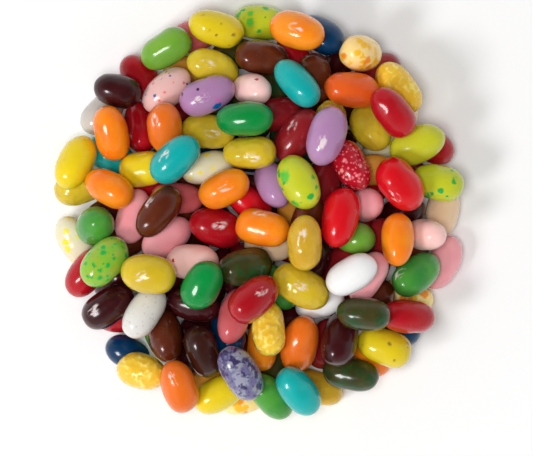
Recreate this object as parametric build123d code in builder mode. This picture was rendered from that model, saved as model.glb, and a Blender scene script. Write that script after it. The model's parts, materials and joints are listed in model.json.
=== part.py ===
from build123d import *
import os
from math import cos, pi, radians, sin, sqrt
from typing import NamedTuple
import numpy as np

# A round heap of loose jelly beans, tipped out on a flat surface and a little under 120 mm across.
# Millimetres and degrees.  +Z is up, and the origin is under the middle of the heap, on the surface
# that it lies on.  Every bean is a separate solid.  The beans of one colour share a node, and the
# beans on top that can be picked straight off the heap are nodes of their own.

# ---- Driving dimensions ------------------------------------------------------------------------

THICKNESS = 0.95          # thickness of a bean, for its width
MEAN_BOW = 0.9            # how far the middle of a bean stands off the line through its tips
BOW_SPREAD = 0.5
MEAN_BLUNTNESS = 2.7      # exponent of the outline: 2 is an ellipse, more is squarer
BLUNTNESS_SPREAD = 0.3
EGG_SPREAD = 0.07         # how much fatter one end is than the other
STATIONS = 9              # cross-sections along a bean

HIDDEN_BEANS = 28         # on the floor of the heap, where nothing shows
HIDDEN_LENGTH = 15.2
HIDDEN_WIDTH = 9.8
HIDDEN_SPREAD = 6.6       # the hidden beans fill a disc, this far apart
GOLDEN_ANGLE = 137.508
HIDDEN_TWIST = 50         # heading of a hidden bean, from the line out to it

BED_CLEARANCE = 0.12      # half of the gap between two beans that stay in the heap
LOOSE_CLEARANCE = 0.3     # the same, round a bean that can be picked off

# ---- The beans -----------------------------------------------------------------------------------


class Bean(NamedTuple):
    """One bean: its colour, where its middle lies, its size, and how it is turned."""
    colour: str
    x: float
    y: float
    length: float
    width: float
    heading: float        # of its long axis, anticlockwise from +X
    rise: float = 0       # of its long axis, above level
    roll: float = None    # of its bow about the long axis; None takes the next of ROLLS
    bluntness: float = None   # of its outline; None stays near MEAN_BLUNTNESS


ROLLS = (0, 180, 75, -80, 140, 20, -40, 105)

HIDDEN_COLOURS = ("blackcurrant", "cola_brown", "burgundy", "dark_olive", "espresso", "cherry", "navy",
                  "blackcurrant")

# Colour, x, y, length, width and heading, then rise, roll and bluntness where they matter.  In each
# tier a bean comes after the ones that it lies on.

LOW = [
    ("smoke_grey", -43, 26, 15.7, 10.1, 65),
    ("teal", -43, 17.5, 15.7, 10.1, -52),
    ("blackcurrant", -49.5, 1, 14, 9.5, 25),
    ("clear_rose", -17.5, 46, 14, 9.5, 25),
    ("dark_olive", -8.5, 48.5, 14, 9.5, 10),
    ("burgundy", -22.5, 29.5, 14.6, 10.1, 75),
    ("caramel", -21.5, 42.5, 14.6, 9.5, 20),
    ("cherry", 8, 44.5, 15.1, 10.1, -60),
    ("dark_olive", 3, 36.5, 15.1, 9.5, 85),
    ("burgundy", 4, 30, 15.1, 10.1, -10),
    ("burgundy", 29.5, 40, 15.1, 10.1, 15),
    ("peach", 40.5, 28.5, 14, 10.1, -70),
    ("cherry", 46, 20.5, 15.7, 10.1, -50),
    ("blotched_cream", 35.5, 19, 14.6, 9.5, 60),
    ("caramel", 31, 15, 14.6, 9.5, 20),
    ("burgundy", 18, 8.5, 15.7, 10.1, 80),
    ("caramel", 7, -0.5, 14.6, 9.5, -80),
    ("scarlet", -4, 3.5, 14.6, 9.5, -35),
    ("peach", 3, -8.5, 14.6, 9.5, 8),
    ("mid_green", 4, -20.5, 15.7, 10.1, -45),
    ("blackcurrant", 39.5, -2, 15.7, 10.1, 5),
    ("burgundy", 24, -13.5, 15.1, 10.1, 15),
    ("blackcurrant", 16, -14.5, 15.1, 10.1, 60),
    ("bubblegum", 47, -11, 16.2, 9.5, 68),
    ("custard", 40, -22.5, 15.1, 9.5, -12),
    ("navy", 38, -31, 15.1, 10.1, -25),
    ("burgundy", 16.5, -37, 15.1, 10.1, 85),
    ("cola_brown", -5, -38.5, 14.6, 9.5, -60),
    ("dark_olive", 3, -42.5, 14.6, 9.5, 40),
    ("apple_green", -29, -35.5, 14, 9.5, -70),
    ("cherry", -40.5, -29, 15.1, 9.5, -18),
    ("navy", -35, -36, 13.4, 9.5, -20),
    ("navy", -9, -33, 15.1, 10.1, -75),
    ("caramel", -16, -46, 14, 9.5, 60),
    ("custard", -5.5, -51, 14, 9.5, 5),
    ("honey", 16, -48, 15.7, 9.5, -25),
    ("cola_brown", -36, -10, 14.6, 9.5, 10),
    ("blackcurrant", -23, -21, 14.6, 9.5, 80),
    ("cherry", -31.5, 7, 14.6, 9.5, -35),
    ("clear_rose", -24, 5.5, 15.1, 9.5, 3),
    ("blackcurrant", -40, -19.5, 14.6, 9.5, 60),
    ("orange", 30.5, -41.5, 14, 9.5, -28),
    ("mango", 20.5, 26.5, 14, 10.1, 80),
    ("blackcurrant", -28.5, -15, 14.6, 9.5, 30),
    ("burgundy", 34, -9.5, 14.6, 9.5, -70),
    ("cola_brown", 12, 0, 14.6, 9.5, 60),
    ("blackcurrant", 23, 42, 14, 9.5, 70),
    ("espresso", 21.5, 32.5, 14, 9.5, -60),
    ("blackcurrant", -20, -41.5, 14, 9.5, 60),
    ("cola_brown", 36, -24, 14, 9.5, 60),
    ("burgundy", 46, 12, 14, 9.5, -30),
    ("cola_brown", 45, -10, 14, 9.5, 60),
    ("blackcurrant", -17, -32, 14, 9.5, 20),
]

MIDDLE = [
    ("cherry", -33, 38.5, 15.7, 10.1, -50),
    ("cherry", -35.5, 24.5, 15.7, 9.5, -82),
    ("olive_yellow", -48.5, 6.5, 15.7, 10.1, 8),
    ("blotched_cream", -49.5, -6, 16.2, 10.1, -72),
    ("cola_brown", -1, 44, 16.2, 10.1, 0),
    ("cola_brown", 15.5, 40, 14.6, 10.1, -80),
    ("navy", 17.5, 48.5, 16.2, 10.1, -38),
    ("olive_yellow", 30.5, 24, 15.1, 10.9, -60),
    ("peach", 50.5, 2, 14.6, 9.8, 88),
    ("bubblegum", 31.5, -17, 15.7, 9.5, 65),
    ("cherry", -49.5, -15.5, 16.2, 10.1, 58),
    ("blackcurrant", -19.5, -27, 15.7, 10.1, -8),
    ("dark_olive", 25.5, -44.5, 17.1, 9.8, -13, 0, 0, 2.8),
    ("lemon", -12, -51, 15.1, 10.4, 25),
    ("mid_green", 2.5, -51.5, 16.2, 10.1, -48),
    ("mango", -33, -43, 14.6, 10.4, -14, 25),
    ("orange", -0.5, -36.5, 16.2, 9.5, 88),
    ("olive_yellow", -13.5, 42.5, 15.7, 10.1, -14),
    ("lavender", 2, 8, 15.7, 9.5, -62),
    ("blotched_cream", -15.5, 13.5, 15.7, 9.5, 24),
    ("olive_yellow", -15, 23.5, 16.2, 10.1, -12),
    ("bubblegum", -26.5, -5.5, 16.2, 10.6, 33),
    ("white", 17, -26.5, 15.7, 9.5, 20),
    ("honey", 13.5, -7.5, 16, 10.1, 86),
]

UPPER = [
    ("blackcurrant", -40, 34.5, 14, 10.1, -8, 15, 90, 3),
    ("flecked_pink", -27, 36, 16.2, 10.6, 38),
    ("mango", 38.5, 36.5, 17.1, 9.8, -50, 0, 0, 2.9),
    ("brick_orange", 26, 36, 16.2, 10.6, -12, 0, 80, 2.8),
    ("speckled_pear", 0, 53.5, 16, 10.1, -4),
    ("pale_pink", -3, 35.5, 15.1, 9.5, -50, 55),
    ("teal", 10.5, 37, 16.8, 9.5, -54, 0, 180, 2.9),
    ("burgundy", 10, 24.5, 17.1, 10.6, 58, 0, 90, 2.7),
    ("clear_yellow", -3, 17.5, 16, 9.5, -2, 0, 180, 3.4),
    ("orange", -10, 7, 15.1, 10.6, 28, 0, 90, 3),
    ("lemon", -34.5, 13, 14.6, 10.4, 8),
    ("orange", -43, 7.5, 15.1, 10.4, -28, 0, 90, 2.8),
    ("bubblegum", -36.5, -0.5, 16.5, 9.5, 76, 0, 0, 2.8),
    ("cherry", -12, -3.5, 16.5, 11.8, -3, 0, 90, 2.3),
    ("salmon", -19, -13, 16, 10.4, 8),
    ("emerald", -15.5, -19.5, 14.6, 11.2, 60),
    ("clear_rose", -8, -29, 16.8, 9.5, 76),
    ("flecked_red", 26, 14, 16, 10.4, -60),
    ("bubblegum", 30.5, 3, 15.1, 9.8, 60, 70),
    ("apple_green", 27, -6, 14.6, 9.5, -10, 30),
    ("pale_pink", 47, -6.5, 15.1, 9.5, 10, 55),
    ("speckled_pear", 50, 10, 15.1, 10.9, -18),
    ("white", 26, -17, 16.2, 10.6, 30, 0, 170, 2.7),
    ("cherry", 41, -29, 16.8, 10.4, -7, 0, 90, 2.4),
    ("spotted_yellow", 35.5, -37, 16.2, 10.9, -16, 0, 90, 3),
    ("blackcurrant", 22.5, -35.5, 16.2, 10.9, 82),
    ("teal", 10.5, -49.5, 16.5, 10.6, -56, 0, 0, 2.7),
    ("cola_brown", -26.5, -34.5, 16.8, 10.4, -78),
    ("espresso", -16, -38.5, 16.2, 10.4, -72),
    ("deep_orange", -22.5, -48, 15.7, 10.6, -78),
    ("blackcurrant", -43.5, -26, 16.8, 10.6, 38, 0, 0, 2.8),
    ("speckled_white", -32, -27.5, 16.8, 10.1, 58, 0, 90, 2.8),
]

TOP = [
    ("apple_green", -27, 47, 16.2, 10.1, 36, 0, 180, 3.2),
    ("deep_orange", -27, 25.5, 16, 10.6, -84, 0, 90, 2.8),
    ("orange", -42.5, 23, 16.5, 10.1, -76, 0, 0, 2.9),
    ("lemon", -52, 14.5, 16.5, 10.6, 62, 0, 180, 2.6),
    ("teal", -24.5, 16, 16.8, 10.9, 46),
    ("cola_brown", -29, 1, 16.8, 10.1, 56, 0, 75, 3),
    ("mid_green", -46, -3, 15.1, 10.9, 45, 60),
    ("speckled_green", -44.5, -13.5, 16.5, 11.2, 48, 0, 0, 2.6),
    ("lemon", -32, -17.5, 16.2, 11.8, -10, 0, 90, 2.6),
    ("flecked_lavender", -15, 34, 16.5, 10.9, 20),
    ("spotted_yellow", -13, 50.5, 16.8, 10.6, -28, 0, 0, 2.7),
    ("orange", 11, 52.5, 16.5, 11.2, -18, 0, 90, 2.8),
    ("custard", 27.5, 45, 15.7, 10.9, 60, 78),
    ("cherry", 37, 29.5, 16.8, 10.6, -50, 0, 100, 2.7),
    ("citron", 45, 19.5, 16.8, 11.2, 22, 0, 80, 2.5),
    ("lavender", 18.5, 22, 17.4, 11.5, 74, 0, 90, 2.4),
    ("emerald", -4.5, 27, 16.8, 10.4, -3, 0, 80, 2.7),
    ("orange", 1, -4, 16.2, 10.4, -6, 0, 180, 3.4),
    ("scarlet", 21, -1, 17.4, 10.9, 74, 0, 100, 2.6),
    ("scarlet", 38.5, 8, 17.1, 11.8, -50, 0, -80, 2.6),
    ("speckled_pear", 10.5, 8.5, 16.8, 11.2, -62, 0, 0, 2.6),
    ("orange", 38, -7.5, 15.7, 9.8, 85, 0, 90, 2.5),
    ("mid_green", 43, -16, 16.2, 10.6, 40, 0, 180, 2.6),
    ("dark_olive", -6, -14.5, 16.2, 11.2, 15, 0, 90, 2.8),
    ("clear_yellow", 12, -19.5, 17.4, 11.2, -30, 0, 90, 2.8),
    ("deep_orange", 10.5, -36, 17.4, 11.2, 70, 0, 180, 2.6),
    ("mango", 3, -32, 16.2, 9.8, -82, 0, 90, 3),
    ("cherry", -2.5, -24, 16.8, 11.2, 42, 0, 80, 2.8),
    ("marbled_grey", -7, -45, 17.9, 10.6, -52, 0, 0, 2.6),
    ("dark_olive", 29.3, -28, 15.7, 10.1, -6, 0, 90, 3),
]

# The last bean of each of these colours lies free on top of the heap.
LOOSE_COLOURS = ("spotted_yellow", "emerald", "teal", "cola_brown", "lemon", "lavender",
                 "speckled_pear", "scarlet", "orange", "dark_olive", "cherry", "marbled_grey")


def hidden_floor():
    """The beans under the heap, spread evenly over a disc."""
    beans = []
    for number in range(HIDDEN_BEANS):
        colour = HIDDEN_COLOURS[number % len(HIDDEN_COLOURS)]
        distance = HIDDEN_SPREAD * sqrt(number + 0.5)
        bearing = GOLDEN_ANGLE * number
        x = distance * cos(radians(bearing))
        y = distance * sin(radians(bearing))
        heading = (bearing + HIDDEN_TWIST) % 180
        beans.append(Bean(colour, x, y, HIDDEN_LENGTH, HIDDEN_WIDTH, heading))
    return beans


BEANS = hidden_floor() + [Bean(*row) for row in LOW + MIDDLE + UPPER + TOP]
COLOURS = sorted({bean.colour for bean in BEANS})
LOOSE = {max(k for k, bean in enumerate(BEANS) if bean.colour == colour) for colour in LOOSE_COLOURS}


def bow_of(number):
    return MEAN_BOW + BOW_SPREAD * sin(3.1 * number)


def bluntness_of(number):
    bluntness = BEANS[number].bluntness
    return MEAN_BLUNTNESS + BLUNTNESS_SPREAD * sin(1.7 * number) if bluntness is None else bluntness


def egg_of(number):
    return EGG_SPREAD * sin(2.4 * number)


def roll_of(number):
    roll = BEANS[number].roll
    return ROLLS[number % len(ROLLS)] if roll is None else roll


def fullness(u, number):
    """Half-width of a bean, for its greatest, at u from -1 at one tip to 1 at the other."""
    return np.sqrt(1 - np.abs(u) ** bluntness_of(number)) * (1 + egg_of(number) * u)


def bow_line(u, number):
    """Where the middle of a bean's section lies, across the bean."""
    return bow_of(number) * (0.5 - u ** 2)


def lean(u, number):
    """The angle of the bean's bent axis at u, which its section stands square to."""
    return np.arctan(-4 * bow_of(number) * u / BEANS[number].length)


# ---- How the beans settle --------------------------------------------------------------------------

BALLS = 9                 # balls in the chain that stands for a bean
TURNING = 20.0            # square of a bean's radius of gyration
REACH = 19.0              # beans whose middles are further apart don't touch
STANDING = 20             # a bean that rises more than this is held at its rise
FREE_TILT = 14            # and any other tilts this far without being held
HIDDEN_HOLD = 0.02        # how firmly a bean keeps to its place and heading
LOW_HOLD = 0.05
TOP_HOLD = 0.08
DROPS = ((700, 0.12), (700, 0.04))    # steps, and the fall in each of them
CLEARING_STEPS = 500
GIVE = 0.7                # share of an overlap that one step clears
SORTING_STEPS = 10        # between two searches for the beans that can touch
END_BALL_PASSES = 60      # to find the largest ball that fits the tip of a bean


def turn_matrix(heading, rise, roll):
    """Axes of a bean: rolled about its length, raised at its front, then turned to its heading."""
    h, p, r = radians(heading), radians(rise), radians(roll)
    about_z = np.array([[cos(h), -sin(h), 0], [sin(h), cos(h), 0], [0, 0, 1]])
    about_y = np.array([[cos(p), 0, -sin(p)], [0, 1, 0], [sin(p), 0, cos(p)]])
    about_x = np.array([[1, 0, 0], [0, cos(r), -sin(r)], [0, sin(r), cos(r)]])
    return about_z @ about_y @ about_x


def small_turns(vectors):
    """Rotation matrices for an array of small rotation vectors."""
    angle = np.linalg.norm(vectors, axis=1)
    x, y, z = (vectors / np.maximum(angle, 1e-12)[:, None]).T
    zero = 0 * x
    cross = np.array([[zero, -z, y], [z, zero, -x], [-y, x, zero]]).transpose(2, 0, 1)
    sine = np.sin(angle)[:, None, None]
    fall = (1 - np.cos(angle))[:, None, None]
    return np.eye(3) + sine * cross + fall * (cross @ cross)


def ball_chain(number):
    """Middles and radii of the balls that fill a bean, in the bean's own axes."""
    bean = BEANS[number]
    half = bean.length / 2
    u = np.linspace(-0.999, 0.999, 200)
    outline_x = half * u
    outline_y = bean.width / 2 * fullness(u, number)

    def radius_at(x):
        return np.hypot(outline_x - x, outline_y).min()

    reach = half / 2
    for _ in range(END_BALL_PASSES):
        reach = (reach + half - radius_at(reach)) / 2
    x = np.linspace(-reach, reach, BALLS)
    radii = np.array([radius_at(each) for each in x])
    y = bow_line(x / half, number)
    clearance = LOOSE_CLEARANCE if number in LOOSE else BED_CLEARANCE
    return np.stack([x, y, 0 * x], axis=1), radii + clearance


class Heap:
    """The beans as rigid chains of balls: poured in order, let down, then cleared of each other."""

    def __init__(self):
        chains = [ball_chain(number) for number in range(len(BEANS))]
        self.chain = np.array([middles for middles, _ in chains])
        self.radius = np.array([radii for _, radii in chains])
        self.heading = np.array([bean.heading for bean in BEANS], float)
        self.rise = np.array([bean.rise for bean in BEANS], float)
        self.home = np.array([(bean.x, bean.y) for bean in BEANS])
        low = HIDDEN_BEANS + len(LOW)
        self.hold = np.full(len(BEANS), TOP_HOLD)
        self.hold[:low] = LOW_HOLD
        self.hold[:HIDDEN_BEANS] = HIDDEN_HOLD
        self.axes = np.array([turn_matrix(bean.heading, bean.rise, roll_of(number))
                              for number, bean in enumerate(BEANS)])
        self.place = np.zeros((len(BEANS), 3))
        self.pour()

    def balls(self):
        return self.place[:, None] + np.einsum("nij,nkj->nki", self.axes, self.chain)

    def pour(self):
        """Set each bean in turn at the lowest place where it clears those already there."""
        below = np.zeros((0, 3))
        below_radius = np.zeros(0)
        for number in range(len(BEANS)):
            chain = self.chain[number] @ self.axes[number].T
            radius = self.radius[number]
            height = (radius - chain[:, 2]).max()
            across = chain[:, None, :2] + self.home[number] - below[None, :, :2]
            apart = (across ** 2).sum(axis=2)
            touch = radius[:, None] + below_radius[None]
            over = below[None, :, 2] + np.sqrt(np.maximum(touch ** 2 - apart, 0)) - chain[:, None, 2]
            height = max(height, np.where(apart < touch ** 2, over, 0).max(initial=0))
            self.place[number] = (*self.home[number], height)
            below = np.vstack([below, self.place[number] + chain])
            below_radius = np.append(below_radius, radius)

    def keep_home(self):
        """Draw each bean back towards its place, its heading and its rise."""
        self.place[:, :2] += self.hold[:, None] * (self.home - self.place[:, :2])
        long_axis = self.axes[:, :, 0]
        level = np.hypot(long_axis[:, 0], long_axis[:, 1])
        heading_now = np.degrees(np.arctan2(long_axis[:, 1], long_axis[:, 0]))
        rise_now = np.degrees(np.arcsin(np.clip(long_axis[:, 2], -1, 1)))
        off_heading = (self.heading - heading_now + 180) % 360 - 180
        off_rise = self.rise - rise_now
        free = np.where(self.rise > STANDING, 0, FREE_TILT)
        off_rise = np.sign(off_rise) * np.maximum(np.abs(off_rise) - free, 0)
        bearing = np.radians(self.heading)
        sideways = np.stack([np.sin(bearing), -np.cos(bearing), 0 * bearing], axis=1)
        turns = (self.hold * np.radians(off_rise))[:, None] * sideways
        turns[:, 2] += self.hold * np.radians(off_heading) * np.clip(2 * level - 0.6, 0, 1)
        self.axes = small_turns(turns) @ self.axes

    def find_neighbours(self):
        first, second = np.triu_indices(len(BEANS), 1)
        near = np.linalg.norm(self.place[first] - self.place[second], axis=1) < REACH
        self.first, self.second = first[near], second[near]

    def clear_pairs(self):
        """Push apart every two beans that overlap, at their deepest point, and return the depth."""
        first, second = self.first, self.second
        balls = self.balls()
        line = balls[second][:, None] - balls[first][:, :, None]
        distance = np.linalg.norm(line, axis=3)
        depth = self.radius[first][:, :, None] + self.radius[second][:, None] - distance
        pair = np.arange(len(first))
        deepest = depth.reshape(len(first), -1).argmax(axis=1)
        on_first, on_second = np.divmod(deepest, BALLS)
        depth = depth[pair, on_first, on_second]
        pair = pair[depth > 0]
        depth = depth[pair]
        first, second = first[pair], second[pair]
        on_first, on_second = on_first[pair], on_second[pair]
        away = line[pair, on_first, on_second] / distance[pair, on_first, on_second][:, None]
        contact = balls[first, on_first] + away * self.radius[first, on_first][:, None]
        arm_first = np.cross(contact - self.place[first], away)
        arm_second = np.cross(contact - self.place[second], away)
        yielding = 2 + ((arm_first ** 2).sum(axis=1) + (arm_second ** 2).sum(axis=1)) / TURNING
        push = (GIVE * depth / yielding)[:, None]
        moves = np.zeros_like(self.place)
        turns = np.zeros_like(self.place)
        np.add.at(moves, first, -away * push)
        np.add.at(moves, second, away * push)
        np.add.at(turns, first, -arm_first * push / TURNING)
        np.add.at(turns, second, arm_second * push / TURNING)
        self.place += moves
        self.axes = small_turns(turns) @ self.axes
        return depth.max(initial=0)

    def clear_floor(self):
        """Lift every bean that reaches below the floor, at its lowest ball."""
        balls = self.balls()
        under = self.radius - balls[:, :, 2]
        lowest = under.argmax(axis=1)
        bean = np.arange(len(BEANS))
        depth = np.maximum(under[bean, lowest], 0)
        foot = balls[bean, lowest] - self.place
        foot[:, 2] -= self.radius[bean, lowest]
        arm = np.cross(foot, (0, 0, 1.0))
        lift = depth / (1 + (arm ** 2).sum(axis=1) / TURNING)
        self.place[:, 2] += lift
        self.axes = small_turns(arm * (lift / TURNING)[:, None]) @ self.axes

    def settle(self):
        for steps, fall in DROPS + ((CLEARING_STEPS, 0),):
            for step in range(steps):
                if step % SORTING_STEPS == 0:
                    self.find_neighbours()
                if fall:
                    self.place[:, 2] -= fall
                    self.keep_home()
                depth = self.clear_pairs()
                self.clear_floor()
        left, _, right = np.linalg.svd(self.axes)
        self.axes = left @ right
        return depth

    def surface(self, number):
        """Points all over a bean, where it lies."""
        u, angle = np.meshgrid(np.linspace(-1, 1, 41), np.radians(range(0, 360, 10)))
        bean = BEANS[number]
        radius = bean.width / 2 * fullness(u, number)
        x = bean.length / 2 * u - radius * np.cos(angle) * np.sin(lean(u, number))
        y = bow_line(u, number) + radius * np.cos(angle) * np.cos(lean(u, number))
        z = THICKNESS * radius * np.sin(angle)
        points = np.stack([x, y, z], axis=-1).reshape(-1, 3)
        return self.place[number] + points @ self.axes[number].T

    def centre(self):
        """Move the whole heap so that its box stands on the origin."""
        points = np.vstack([self.surface(number) for number in range(len(BEANS))])
        low, high = points.min(axis=0), points.max(axis=0)
        self.place -= ((low[0] + high[0]) / 2, (low[1] + high[1]) / 2, low[2])


# ---- The solids --------------------------------------------------------------------------------------


def bean_solid(number, place, axes):
    """A bean lofted from tip to tip through oval sections that follow its bow."""
    half = BEANS[number].length / 2
    tips = [Vertex(half * side, bow_line(side, number), 0) for side in (-1, 1)]
    ovals = []
    with BuildPart() as bean:
        for station in range(1, STATIONS + 1):
            u = -cos(pi * station / (STATIONS + 1))
            angle = lean(u, number)
            section = Plane(origin=(half * u, bow_line(u, number), 0),
                            x_dir=(-sin(angle), cos(angle), 0),
                            z_dir=(cos(angle), sin(angle), 0))
            radius = BEANS[number].width / 2 * float(fullness(u, number))
            with BuildSketch(section) as oval:
                Ellipse(radius, THICKNESS * radius)
            ovals.append(oval.sketch.face())
        loft(sections=[tips[0]] + ovals + [tips[1]])
    lie = Plane(origin=tuple(place), x_dir=tuple(axes[:, 0]), z_dir=tuple(axes[:, 2]))
    return bean.part.moved(lie.location)


heap = Heap()
overlap = heap.settle()
heap.centre()
print(f"{len(BEANS)} beans, deepest overlap left {overlap:.4f} mm")

solids = [bean_solid(number, heap.place[number], heap.axes[number]) for number in range(len(BEANS))]

os.makedirs("parts", exist_ok=True)

for number in sorted(LOOSE):
    with BuildPart() as loose_bean:
        add(solids[number])
    loose_bean.part.label = f"loose_{BEANS[number].colour}_bean"
    export_step(loose_bean.part, f"parts/{loose_bean.part.label}.step")

for colour in COLOURS:
    members = [k for k, bean in enumerate(BEANS) if bean.colour == colour and k not in LOOSE]
    if members:
        bed_beans = Compound(label=f"{colour}_beans", children=[solids[k] for k in members])
        export_step(bed_beans, f"parts/{bed_beans.label}.step")
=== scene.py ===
"""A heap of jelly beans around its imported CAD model: sugar shells, soft studio light, camera above."""

import json
from math import cos, pi, radians, sin

import bpy
import numpy as np
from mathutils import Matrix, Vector, noise
from mathutils.bvhtree import BVHTree


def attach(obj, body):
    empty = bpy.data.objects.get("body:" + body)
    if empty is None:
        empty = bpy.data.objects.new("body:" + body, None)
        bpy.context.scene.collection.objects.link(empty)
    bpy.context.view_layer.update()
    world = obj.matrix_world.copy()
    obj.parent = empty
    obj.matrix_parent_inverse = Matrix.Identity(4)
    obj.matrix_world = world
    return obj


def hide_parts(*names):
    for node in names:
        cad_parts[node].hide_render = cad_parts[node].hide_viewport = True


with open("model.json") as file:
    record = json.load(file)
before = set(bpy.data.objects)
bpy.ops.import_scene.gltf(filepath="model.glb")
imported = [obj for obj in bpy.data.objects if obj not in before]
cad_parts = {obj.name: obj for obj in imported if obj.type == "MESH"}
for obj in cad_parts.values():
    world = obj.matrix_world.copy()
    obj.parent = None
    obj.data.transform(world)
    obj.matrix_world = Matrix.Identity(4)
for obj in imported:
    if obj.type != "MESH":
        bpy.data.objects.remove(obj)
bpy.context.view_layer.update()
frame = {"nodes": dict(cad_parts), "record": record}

MM = 0.001
UP = np.array([0.0, 0.0, 1.0])

# ---- Driving values ----------------------------------------------------------------------------

GRID = 20                    # quads along each side of the cube that a bean's mesh starts from
SMOOTHING = 3                # passes that take the facets of the CAD mesh away
CORE_STRETCH = 1.25          # over 1, so that the rays round a bean's tips start at its core's ends
LUMP_DEPTH = 0.16 * MM       # how far the hollows of the uneven shell go in
LUMP_SIZE = 4.2 * MM
FINE_SHARE = 0.45            # a second unevenness on the first: how deep it is for the first's depth
FINE_RATIO = 2.3             # and how many times as fine
DENTS = 3                    # flats that the neighbours pressed into a bean
DENT_DEPTH = 0.32 * MM
DENT_RADIUS = 3.2 * MM

PRINT_LENGTH = 5.0 * MM      # a worn oval print is where an ellipsoid of these sizes meets the shell
PRINT_WIDTH = 3.0 * MM
PRINT_DEPTH = 8.0 * MM
PRINT_FADE = (0.6, 1.1)      # how far out of the ellipsoid the print starts to thin, and where it ends
PRINT_WEAR = (0.44, 0.62)    # the streaks' noise at bare shell, and at unworn white
PRINT_SEARCH = 9.0 * MM      # a print is within this of the middle of its bean
PRINT_TOUCH = 0.9 * MM       # a bean is under the print if its shell comes this near
PRINT_BED = 1.6 * MM         # the shell this near the print says which way it faces
PRINT_WHITE = (240, 226, 224)
PRINT_COVER = 0.75
PRINT_ROUGHNESS = 0.15       # over the roughness of the shell around it
STREAK_SIZE = 0.9 * MM
NO_PRINT = 1.0               # far outside the ellipsoid, for a bean without a print

DRIFT_SIZE = 6.5 * MM        # of the patches where a shell's colour drifts
TONE_SHARE = 0.5             # how far the colour of a whole bean may drift
SUGAR_ROUGHNESS = 0.19
SUGAR_UNEVENNESS = 0.12      # how much the roughness goes up in patches of the next size
SUGAR_PATCH = 1.6 * MM
COAT_WEIGHT = 0.6            # the polish over the sugar shell
COAT_ROUGHNESS = 0.04
COAT_IOR = 1.42
SUGAR_IOR = 1.45
SUGAR_SPECULAR = 0.35
BUMP_DEPTH = 0.2 * MM
GRAIN_SIZE = 0.4 * MM
GRAIN_HEIGHT = 0.012         # as a share of the bump's depth
JELLY_REACH = 1.6 * MM       # how far light goes in the jelly, in its brightest colour
JELLY_LEAST = 0.25           # and for a colour that the jelly holds back, as a share of that

CAMERA_HEIGHT = 1.5
CAMERA_LENS = 350.6
CAMERA_AIM = (2.27 * MM, -4.63 * MM)

# Metres and watts, with degrees from overhead and anticlockwise from +X.  Only the key light shows
# in the beans' gloss.
KEY_LIGHT = dict(size=0.32, tilt=42, bearing=215, distance=1.3, power=7.5, glossy=True)
TOP_LIGHT = dict(size=0.5, tilt=5, bearing=215, distance=1.8, power=15.5, glossy=False)
TENT_ABOVE = 0.1
TENT_AROUND = 0.6
TENT_OPENING = (0.3, 0.9)    # the heights, on a dome of radius 1, between which it dims
FLOOR_WHITE = 0.95
FLOOR_SIZE = 3.0             # from the middle to each edge


# ---- Finding the beans in the CAD nodes --------------------------------------------------------


class Bean:
    """One bean of a CAD node: its surface, its middle, its axes and its half sizes."""

    def __init__(self, points, polygons, seed):
        self.seed = seed
        self.tree = BVHTree.FromPolygons([Vector(p) for p in points], polygons)
        self.middle = (points.min(axis=0) + points.max(axis=0)) / 2
        spread = points - points.mean(axis=0)
        _, _, axes = np.linalg.svd(spread, full_matrices=False)
        if axes[0][0] < 0:
            axes[0] = -axes[0]
        if axes[1] @ UP < 0:
            axes[1] = -axes[1]
        axes[2] = np.cross(axes[0], axes[1])
        self.axes = axes
        local = (points - self.middle) @ axes.T
        self.middle = self.middle + (local.min(axis=0) + local.max(axis=0)) / 2 @ axes
        self.half = (local.max(axis=0) - local.min(axis=0)) / 2


def islands(mesh):
    """The separate closed surfaces of a mesh, as points and polygons."""
    points = np.empty(len(mesh.vertices) * 3)
    mesh.vertices.foreach_get("co", points)
    points = points.reshape(-1, 3)
    _, first, merged = np.unique(np.round(points, 7), axis=0, return_index=True, return_inverse=True)
    merged = merged.ravel()
    corners = np.empty(len(mesh.polygons) * 3, int)
    mesh.polygons.foreach_get("vertices", corners)
    corners = merged[corners].reshape(-1, 3)
    label = np.arange(len(first))
    while True:                  # the lowest label spreads from corner to corner over each surface
        lowest = label[corners].min(axis=1)
        before = label.copy()
        for side in range(3):
            np.minimum.at(label, corners[:, side], lowest)
        if (label == before).all():
            break
    points = points[first]
    found = []
    for name in np.unique(label):
        members = np.flatnonzero(label == name)
        renumber = np.full(len(label), -1)
        renumber[members] = np.arange(len(members))
        own = renumber[corners[label[corners[:, 0]] == name]]
        if len(own):
            found.append((points[members], own.tolist()))
    return found


# ---- The mesh of a bean ------------------------------------------------------------------------


def ball_grid(count):
    """A cube of count by count quads a side, blown up into a ball: its points and its quads."""
    steps = np.tan(np.linspace(-1, 1, count + 1) * pi / 4)
    sheets = []
    quads = []
    for axis in range(3):
        for side in (-1, 1):
            u, v = np.meshgrid(steps, steps, indexing="ij")
            sheet = np.zeros((count + 1, count + 1, 3))
            sheet[..., axis] = side
            sheet[..., (axis + 1) % 3] = u
            sheet[..., (axis + 2) % 3] = v
            start = len(sheets) * (count + 1) ** 2
            index = start + np.arange((count + 1) ** 2).reshape(count + 1, count + 1)
            a, b = index[:-1, :-1].ravel(), index[1:, :-1].ravel()
            c, d = index[1:, 1:].ravel(), index[:-1, 1:].ravel()
            quads.append(np.stack([a, b, c, d] if side > 0 else [d, c, b, a], axis=1))
            sheets.append(sheet.reshape(-1, 3))
    points = np.vstack(sheets)
    points /= np.linalg.norm(points, axis=1)[:, None]
    _, first, merged = np.unique(np.round(points, 6), axis=0, return_index=True, return_inverse=True)
    return points[first], merged.ravel()[np.vstack(quads)]


BALL, QUADS = ball_grid(GRID)
EDGES = np.vstack([QUADS[:, [k, (k + 1) % 4]] for k in range(4)])


def smoothed(points, passes):
    for _ in range(passes):
        total = np.zeros_like(points)
        count = np.zeros(len(points))
        np.add.at(total, EDGES[:, 0], points[EDGES[:, 1]])
        np.add.at(count, EDGES[:, 0], 1)
        points = (points + total / count[:, None]) / 2
    return points


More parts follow.
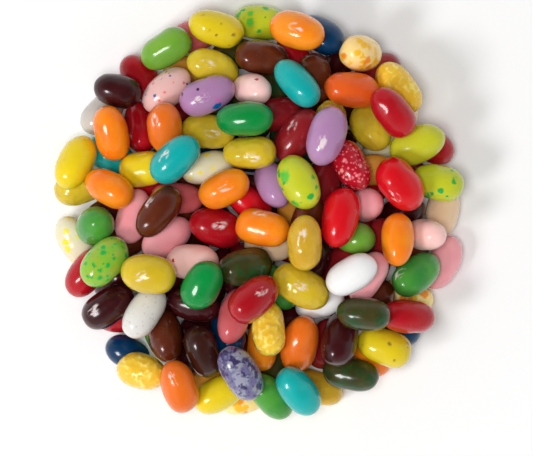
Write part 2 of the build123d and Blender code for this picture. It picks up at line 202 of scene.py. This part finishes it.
def bean_points(bean):
    """The bean's surface on the ball's grid, uneven as a panned sugar shell is."""
    half_length, half_width, half_depth = bean.half
    core = max(half_length - half_width, 0) * np.clip(BALL[:, 0] * CORE_STRETCH, -1, 1)
    target = BALL * (half_length, half_width, half_depth)
    start = np.zeros_like(target)
    start[:, 0] = core
    ray = (target - start) @ bean.axes
    start = bean.middle + start @ bean.axes
    points = np.empty_like(start)
    for k, (origin, direction) in enumerate(zip(start, ray)):
        hit = bean.tree.ray_cast(Vector(origin), Vector(direction))[0]
        points[k] = hit if hit is not None else origin + direction
    points = smoothed(points, SMOOTHING)
    outward = points - bean.middle
    outward /= np.linalg.norm(outward, axis=1)[:, None]
    shift = Vector((bean.seed * 17.3, bean.seed * 5.1, 0))
    depth = np.array([noise.noise(Vector(p) / LUMP_SIZE + shift) + FINE_SHARE * noise.noise(
        Vector(p) / LUMP_SIZE * FINE_RATIO + shift) for p in points - bean.middle])
    depth = LUMP_DEPTH * np.clip(0.5 + 0.6 * depth, 0, 1.2)
    random = np.random.default_rng(1000 + bean.seed)
    for _ in range(DENTS):
        centre = points[random.integers(len(points))]
        reach = DENT_RADIUS * random.uniform(0.7, 1.3)
        near = np.clip(1 - ((points - centre) ** 2).sum(axis=1) / reach ** 2, 0, 1)
        depth += DENT_DEPTH * random.uniform(0.3, 1) * near ** 2
    return points - outward * depth[:, None]


# ---- The beans' looks --------------------------------------------------------------------------


def linear(rgb):
    """A colour given as it looks on a screen, in 0 to 255, as the shaders take it."""
    return tuple(((c / 255 + 0.055) / 1.055) ** 2.4 if c > 10 else c / 255 / 12.92 for c in rgb)


def look(shell, patch, mottle=0.35, clear=0.25, spots=(), clouds=(), lumpy=0.3, ripple=1.9):
    """shell and patch are the two colours that the shell drifts between, and clear is how far light
    goes into the jelly.  spots are (colour, spacing in mm, share of them that show, radius for the
    spacing, softness) and clouds are (colour, grain in mm, threshold, softness).  lumpy is how deep
    the fine unevenness of the shell is, and ripple is how far apart its bumps are, in mm."""
    return dict(shell=shell, patch=patch, mottle=mottle, clear=clear, spots=spots, clouds=clouds,
                lumpy=lumpy, ripple=ripple)


# One look for each colour in the record, and one of its own for a loose lemon bean, which is duller.
LOOKS = {
    "apple_green": look((88, 147, 55), (126, 176, 51)),
    "blackcurrant": look((48, 8, 12), (72, 16, 22), clear=0.1),
    "blotched_cream": look((230, 226, 200), (230, 218, 172), spots=[
        ((246, 226, 40), 3.0, 0.5, 0.26, 0.8)]),
    "brick_orange": look((226, 88, 24), (236, 108, 38)),
    "bubblegum": look((250, 160, 168), (248, 182, 188)),
    "burgundy": look((132, 20, 28), (152, 32, 38), clear=0.2),
    "caramel": look((224, 160, 62), (200, 134, 48), clear=0.3),
    "cherry": look((164, 12, 25), (188, 18, 32), clear=0.25),
    "citron": look((193, 196, 36), (206, 206, 50)),
    "clear_rose": look((208, 104, 108), (182, 70, 74), clear=0.8),
    "clear_yellow": look((218, 192, 44), (206, 176, 40), clear=0.9, mottle=0.6, lumpy=1.5, ripple=1.7),
    "cola_brown": look((86, 31, 11), (106, 48, 24), clear=0.2),
    "custard": look((255, 234, 160), (254, 212, 136), mottle=0.5, spots=[
        ((250, 192, 36), 2.4, 0.7, 0.40, 0.6), ((250, 146, 42), 3.2, 0.45, 0.33, 0.5)]),
    "dark_olive": look((46, 54, 18), (74, 66, 30), clear=0.4, mottle=0.8, clouds=[
        ((32, 76, 36), 4.0, 0.58, 0.12)]),
    "deep_orange": look((226, 108, 24), (240, 126, 36), clear=0.4),
    "emerald": look((0, 132, 56), (8, 150, 68)),
    "espresso": look((46, 16, 9), (64, 28, 18), clear=0.1),
    "flecked_lavender": look((170, 125, 170), (180, 132, 174), spots=[
        ((190, 110, 164), 3.6, 0.25, 0.2, 1.0), ((0, 100, 170), 4.2, 0.22, 0.26, 0.4),
        ((56, 20, 60), 3.8, 0.3, 0.16, 0.4)]),
    "flecked_pink": look((227, 177, 172), (233, 190, 184), spots=[
        ((228, 116, 112), 1.8, 0.45, 0.17, 1.0), ((60, 106, 170), 2.2, 0.42, 0.16, 0.6),
        ((60, 156, 90), 3.4, 0.35, 0.17, 0.5)]),
    "flecked_red": look((180, 14, 34), (194, 24, 44), lumpy=0.6, spots=[
        ((238, 116, 128), 0.9, 0.55, 0.3, 0.9), ((242, 150, 152), 1.7, 0.5, 0.22, 0.9)]),
    "honey": look((220, 184, 50), (204, 160, 42), clear=0.9, mottle=0.6, lumpy=1.5, ripple=1.7),
    "lavender": look((173, 128, 172), (184, 140, 182)),
    "lemon": look((240, 212, 24), (224, 198, 30), mottle=0.5),
    "loose_lemon_bean": look((216, 188, 34), (200, 170, 34), mottle=0.6, clear=0.5),
    "mango": look((240, 202, 62), (236, 190, 50), clear=0.9, lumpy=2.4, ripple=1.6, clouds=[
        ((250, 226, 116), 1.6, 0.58, 0.08)]),
    "marbled_grey": look((156, 153, 182), (150, 154, 160), mottle=1.0, clouds=[
        ((112, 106, 146), 3.0, 0.50, 0.10), ((62, 52, 96), 2.4, 0.55, 0.06),
        ((84, 76, 118), 1.1, 0.60, 0.07)]),
    "mid_green": look((45, 132, 54), (80, 156, 58), clear=0.3, mottle=0.7),
    "navy": look((0, 46, 84), (6, 66, 108), clear=0.2),
    "olive_yellow": look((230, 208, 48), (204, 176, 46), clear=0.8, mottle=0.5, lumpy=1.2, ripple=1.6),
    "orange": look((246, 116, 18), (251, 148, 24), mottle=0.6),
    "pale_pink": look((255, 218, 212), (253, 198, 192), spots=[((214, 36, 50), 4.4, 0.3, 0.11, 0.3)]),
    "peach": look((245, 213, 177), (232, 196, 157), spots=[((60, 160, 140), 4.4, 0.3, 0.16, 0.4)]),
    "salmon": look((255, 214, 207), (253, 188, 178), spots=[((206, 36, 44), 3.6, 0.3, 0.11, 0.4)]),
    "scarlet": look((218, 12, 26), (200, 20, 32), clear=0.3),
    "smoke_grey": look((204, 196, 188), (188, 178, 170), clear=0.4),
    "speckled_green": look((122, 192, 54), (154, 186, 58), clouds=[((156, 182, 58), 3.4, 0.54, 0.1)],
                           spots=[((34, 172, 74), 1.8, 0.6, 0.3, 0.9)]),
    "speckled_pear": look((182, 200, 36), (204, 204, 46), spots=[
        ((96, 196, 60), 4.0, 0.4, 0.3, 0.7), ((44, 172, 72), 2.6, 0.5, 0.27, 0.6)]),
    "speckled_white": look((226, 225, 221), (216, 211, 203), spots=[
        ((206, 201, 194), 1.1, 0.5, 0.24, 1.0), ((198, 190, 183), 1.9, 0.3, 0.12, 1.0)]),
    "spotted_yellow": look((228, 203, 27), (216, 190, 32), spots=[
        ((152, 120, 36), 2.4, 0.5, 0.19, 1.0)]),
    "teal": look((0, 166, 164), (28, 176, 172)),
    "white": look((240, 240, 239), (236, 234, 234)),
}


class Nodes:
    """Short ways to add shader nodes to one material."""

    def __init__(self, material):
        material.use_nodes = True
        self.tree = material.node_tree
        self.tree.nodes.clear()

    def add(self, kind, inputs=(), **settings):
        made = self.tree.nodes.new(kind)
        for name, value in settings.items():
            setattr(made, name, value)
        for name, value in dict(inputs).items():
            if isinstance(value, bpy.types.NodeSocket):
                self.tree.links.new(value, made.inputs[name])
            else:
                made.inputs[name].default_value = value
        return made

    def maths(self, operation, a, b=0.0, clamp=False):
        return self.add("ShaderNodeMath", {0: a, 1: b}, operation=operation, use_clamp=clamp).outputs[0]

    def ramp(self, value, low, high):
        """0 below low and 1 above high, smoothly between."""
        return self.add("ShaderNodeMapRange", {"Value": value, "From Min": low, "From Max": high},
                        interpolation_type="SMOOTHSTEP").outputs["Result"]

    def mix(self, share, first, second):
        made = self.add("ShaderNodeMix", data_type="RGBA")
        for number, value in ((0, share), (6, first), (7, second)):     # the sockets of its colour mode
            socket = made.inputs[number]
            if isinstance(value, bpy.types.NodeSocket):
                self.tree.links.new(value, socket)
            elif isinstance(value, tuple):
                socket.default_value = (*value, 1)
            else:
                socket.default_value = value
        return made.outputs[2]

    def noise(self, place, size, detail=2.0, roughness=0.5):
        return self.add("ShaderNodeTexNoise", {"Vector": place, "Scale": 1 / size, "Detail": detail,
                                               "Roughness": roughness}).outputs["Fac"]

    def moved(self, place, x, y=0.0, z=0.0):
        return self.add("ShaderNodeVectorMath", {0: place, 1: (x, y, z)}).outputs[0]

    def spots(self, place, spacing, share, radius, softness):
        """1 inside round, slightly ragged spots of uneven size, and 0 between them."""
        ragged = self.add("ShaderNodeTexNoise", {"Vector": place, "Scale": 1.6 / spacing, "Detail": 2.0})
        pushed = self.add("ShaderNodeVectorMath", {0: ragged.outputs["Color"], "Scale": 0.6 * spacing},
                          operation="SCALE").outputs[0]
        pushed = self.add("ShaderNodeVectorMath", {0: place, 1: pushed}).outputs[0]
        cells = self.add("ShaderNodeTexVoronoi", {"Vector": pushed, "Scale": 1 / spacing})
        chance = self.add("ShaderNodeSeparateColor", {0: cells.outputs["Color"]})
        size = self.maths("MULTIPLY", self.maths("ADD", chance.outputs[1], 0.6), radius)
        inward = self.maths("SUBTRACT", 1.0, self.maths("DIVIDE", cells.outputs["Distance"], size))
        shown = self.maths("LESS_THAN", chance.outputs[0], share)
        return self.maths("MULTIPLY", self.ramp(inward, -softness / 2, softness / 2), shown)


def worn_print(n):
    """How much white of the worn print lies here: an oval of streaks, mostly rubbed away."""
    at = n.add("ShaderNodeAttribute", attribute_name="print_place").outputs["Vector"]
    tone = n.add("ShaderNodeAttribute", attribute_name="bean_tone").outputs["Fac"]
    split = n.add("ShaderNodeSeparateXYZ", {0: at})
    along, across, above = (split.outputs[k] for k in range(3))
    squares = [n.maths("POWER", n.maths("MULTIPLY", value, 2 / size), 2.0)
               for value, size in ((along, PRINT_LENGTH), (across, PRINT_WIDTH), (above, PRINT_DEPTH))]
    reach = n.maths("SQRT", n.maths("ADD", n.maths("ADD", squares[0], squares[1]), squares[2]))
    oval = n.maths("SUBTRACT", 1.0, n.ramp(reach, *PRINT_FADE))
    stretched = n.add("ShaderNodeVectorMath", {0: at, 1: (0.4, 1.0, 1.0)},
                      operation="MULTIPLY").outputs[0]
    wear = n.add("ShaderNodeTexNoise", {
        "Vector": stretched, "W": n.maths("MULTIPLY", tone, 50.0), "Scale": 1 / STREAK_SIZE,
        "Detail": 2.5, "Distortion": 0.4}, noise_dimensions="4D").outputs["Fac"]
    return n.maths("MULTIPLY", oval, n.ramp(wear, *PRINT_WEAR))


def sugar_shell(name, look):
    """The polished, slightly uneven sugar shell of one colour of bean, and the jelly behind it."""
    material = bpy.data.materials.new("sugar_" + name)
    n = Nodes(material)
    place = n.add("ShaderNodeAttribute", attribute_name="bean_place").outputs["Vector"]
    tone = n.add("ShaderNodeAttribute", attribute_name="bean_tone").outputs["Fac"]
    drift = n.ramp(n.noise(place, DRIFT_SIZE, detail=2.5), 0.34, 0.68)
    drift = n.maths("MULTIPLY", drift, look["mottle"])
    drift = n.maths("ADD", drift, n.maths("MULTIPLY", tone, TONE_SHARE), clamp=True)
    colour = n.mix(drift, linear(look["shell"]), linear(look["patch"]))
    for k, (cloud, grain, threshold, softness) in enumerate(look["clouds"]):
        field = n.noise(n.moved(place, 0.03 * k), grain * MM, detail=2.0)
        colour = n.mix(n.ramp(field, threshold - softness, threshold + softness), colour, linear(cloud))
    for k, (spot, spacing, share, radius, softness) in enumerate(look["spots"]):
        amount = n.spots(n.moved(place, 0.01 * k, 0.02 * k), spacing * MM, share, radius, softness)
        colour = n.mix(amount, colour, linear(spot))
    white = worn_print(n)
    colour = n.mix(n.maths("MULTIPLY", white, PRINT_COVER), colour, linear(PRINT_WHITE))
    rough = n.maths("MULTIPLY", n.noise(place, SUGAR_PATCH), SUGAR_UNEVENNESS)
    rough = n.maths("ADD", rough, SUGAR_ROUGHNESS)
    rough = n.maths("ADD", rough, n.maths("MULTIPLY", white, PRINT_ROUGHNESS))
    wave = n.noise(place, look["ripple"] * MM, detail=0.0)
    grain = n.maths("MULTIPLY", n.noise(place, GRAIN_SIZE), GRAIN_HEIGHT)
    height = n.maths("ADD", n.maths("MULTIPLY", wave, look["lumpy"]), grain)
    bump = n.add("ShaderNodeBump", {"Strength": 1.0, "Distance": BUMP_DEPTH,
                                    "Height": height}).outputs[0]
    brightest = max(linear(look["shell"]))
    reach = tuple(JELLY_LEAST + (1 - JELLY_LEAST) * value / brightest for value in linear(look["shell"]))
    shader = n.add("ShaderNodeBsdfPrincipled", {
        "Base Color": colour, "Roughness": rough, "Normal": bump, "Coat Normal": bump,
        "IOR": SUGAR_IOR, "Specular IOR Level": SUGAR_SPECULAR, "Subsurface Weight": look["clear"],
        "Subsurface Radius": reach, "Subsurface Scale": JELLY_REACH,
        "Coat Weight": COAT_WEIGHT, "Coat Roughness": COAT_ROUGHNESS, "Coat IOR": COAT_IOR})
    shader.subsurface_method = "RANDOM_WALK"
    n.add("ShaderNodeOutputMaterial", {"Surface": shader.outputs[0]})
    return material


def colour_of(node):
    return node.removeprefix("loose_").removesuffix("_beans").removesuffix("_bean")


# ---- Building the pieces -----------------------------------------------------------------------


def find_beans():
    """Every bean of the CAD model, under its node's name, with the shell that it is to wear."""
    found = {}
    seed = 1
    for body, members in sorted(frame["record"]["behaviour"]["bodies"].items()):
        for node in sorted(members):
            found[node] = []
            for surface, polygons in islands(frame["nodes"][node].data):
                bean = Bean(surface, polygons, seed)
                bean.shell = bean_points(bean)
                bean.body = body
                bean.prints = np.full((len(BALL), 3), NO_PRINT)
                found[node].append(bean)
                seed += 1
    return found


def stamp(beans, x, y, heading):
    """Put a print on whichever bean lies on top at x, y (millimetres), turned to heading."""
    spot = np.array([x, y]) * MM
    top = None
    for bean in beans:
        if np.hypot(*(bean.middle[:2] - spot)) < PRINT_SEARCH:
            near = np.hypot(*(bean.shell[:, :2] - spot).T) < PRINT_TOUCH
            if near.any() and (top is None or bean.shell[near, 2].max() > top[1]):
                top = (bean, bean.shell[near, 2].max())
    bean = top[0]
    distance = np.hypot(*(bean.shell[:, :2] - spot).T)
    distance[bean.shell[:, 2] < bean.middle[2]] = np.inf      # the print isn't on the bean's underside
    centre = bean.shell[distance.argmin()]
    near = bean.shell[np.linalg.norm(bean.shell - centre, axis=1) < PRINT_BED]
    _, _, axes = np.linalg.svd(near - near.mean(axis=0), full_matrices=False)
    out = axes[2] if axes[2] @ (centre - bean.middle) > 0 else -axes[2]
    along = np.array([cos(radians(heading)), sin(radians(heading)), 0])
    along -= out * (along @ out)
    along /= np.linalg.norm(along)
    bean.prints = (bean.shell - centre) @ np.stack([along, np.cross(out, along), out], axis=1)


def build_node(node, beans):
    """One piece for a CAD node: the shells of all its beans."""
    quads = np.vstack([QUADS + len(BALL) * k for k in range(len(beans))])
    places, tones = [], []
    for bean in beans:
        random = np.random.default_rng(bean.seed)
        offset = random.uniform(-1, 1, 3)
        places.append((bean.shell - bean.middle) @ bean.axes.T + offset)
        tones.append(np.full(len(bean.shell), random.uniform()))
    mesh = bpy.data.meshes.new(node + "_shells")
    mesh.from_pydata(np.vstack([bean.shell for bean in beans]).tolist(), [], quads.tolist())
    mesh.polygons.foreach_set("use_smooth", np.ones(len(quads), bool))
    prints = np.vstack([bean.prints for bean in beans])
    for name, values in (("bean_place", np.vstack(places)), ("print_place", prints)):
        attribute = mesh.attributes.new(name, "FLOAT_VECTOR", "POINT")
        attribute.data.foreach_set("vector", values.astype(np.float32).ravel())
    tone = mesh.attributes.new("bean_tone", "FLOAT", "POINT")
    tone.data.foreach_set("value", np.concatenate(tones).astype(np.float32))
    piece = bpy.data.objects.new(node + "_shells", mesh)
    bpy.context.scene.collection.objects.link(piece)
    kind = node if node in LOOKS else colour_of(node)
    if kind not in shells:
        shells[kind] = sugar_shell(kind, LOOKS[kind])
    mesh.materials.append(shells[kind])
    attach(piece, beans[0].body)
    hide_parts(node)


# Where the worn prints are: x and y in millimetres, and the heading of the print.
PRINTS = [
    (-10.9, -3.9, 10), (0.3, -0.6, -8), (-9.2, 7.0, 20), (12.3, -6.4, 80), (12.3, -21.0, -25),
    (-33.0, -18.2, 30), (-47.3, -28.0, 35), (-26.9, 16.0, 50), (-31.1, 2.8, 60), (-29.7, 26.0, -80),
    (-15.7, 32.2, 15), (10.9, 52.4, -20), (-13.4, 22.4, -10), (-1.7, 15.4, 0), (40.3, -17.6, 40),
    (-24.1, -47.6, -60), (18.2, 20.0, 75), (9.2, 24.0, 60), (-14.8, 42.0, -15), (38.5, 4.5, -50),
    (1.0, -22.6, 40),
]

shells = {}
beans = find_beans()
all_beans = [bean for members in beans.values() for bean in members]
for x, y, heading in PRINTS:
    stamp(all_beans, x, y, heading)
for node, members in beans.items():
    build_node(node, members)


# ---- The room ----------------------------------------------------------------------------------


def softbox(name, size, tilt, bearing, distance, power, glossy):
    """A square studio light that points at the heap, with or without a reflection in the beans."""
    light = bpy.data.lights.new(name, "AREA")
    light.size = size
    light.energy = power
    lamp = bpy.data.objects.new(name, light)
    lamp.visible_glossy = glossy
    t, b = radians(tilt), radians(bearing)
    towards = Vector((sin(t) * cos(b), sin(t) * sin(b), cos(t)))
    lamp.location = towards * distance
    lamp.rotation_euler = towards.to_track_quat("Z", "Y").to_euler()
    bpy.context.scene.collection.objects.link(lamp)


def floor():
    corners = [(x * FLOOR_SIZE, y * FLOOR_SIZE, 0) for x, y in ((-1, -1), (1, -1), (1, 1), (-1, 1))]
    mesh = bpy.data.meshes.new("floor")
    mesh.from_pydata(corners, [], [(0, 1, 2, 3)])
    made = bpy.data.objects.new("floor", mesh)
    material = bpy.data.materials.new("pale_floor")
    n = Nodes(material)
    shader = n.add("ShaderNodeBsdfPrincipled", {
        "Base Color": (FLOOR_WHITE, FLOOR_WHITE, FLOOR_WHITE, 1), "Roughness": 0.85,
        "Specular IOR Level": 0.1})
    n.add("ShaderNodeOutputMaterial", {"Surface": shader.outputs[0]})
    mesh.materials.append(material)
    bpy.context.scene.collection.objects.link(made)


def world_light(above, around):
    """A white tent that is open over the camera: dim straight above, bright towards the sides."""
    world = bpy.data.worlds.new("studio")
    bpy.context.scene.world = world
    world.use_nodes = True
    nodes, links = world.node_tree.nodes, world.node_tree.links
    direction = nodes.new("ShaderNodeTexCoord").outputs["Generated"]
    height = nodes.new("ShaderNodeSeparateXYZ")
    links.new(direction, height.inputs[0])
    strength = nodes.new("ShaderNodeMapRange")
    strength.interpolation_type = "SMOOTHSTEP"
    links.new(height.outputs[2], strength.inputs["Value"])
    for name, value in (("From Min", TENT_OPENING[0]), ("From Max", TENT_OPENING[1]),
                        ("To Min", around), ("To Max", above)):
        strength.inputs[name].default_value = value
    background = nodes["Background"]
    background.inputs["Color"].default_value = (1, 1, 1, 1)
    links.new(strength.outputs["Result"], background.inputs["Strength"])


def camera():
    data = bpy.data.cameras.new("camera")
    data.lens = CAMERA_LENS
    data.clip_start, data.clip_end = 0.1, 10
    made = bpy.data.objects.new("camera", data)
    made.location = (*CAMERA_AIM, CAMERA_HEIGHT)
    bpy.context.scene.collection.objects.link(made)
    bpy.context.scene.camera = made


floor()
world_light(TENT_ABOVE, TENT_AROUND)
softbox("key", **KEY_LIGHT)
softbox("top", **TOP_LIGHT)
camera()
bpy.context.scene.view_settings.view_transform = "Standard"
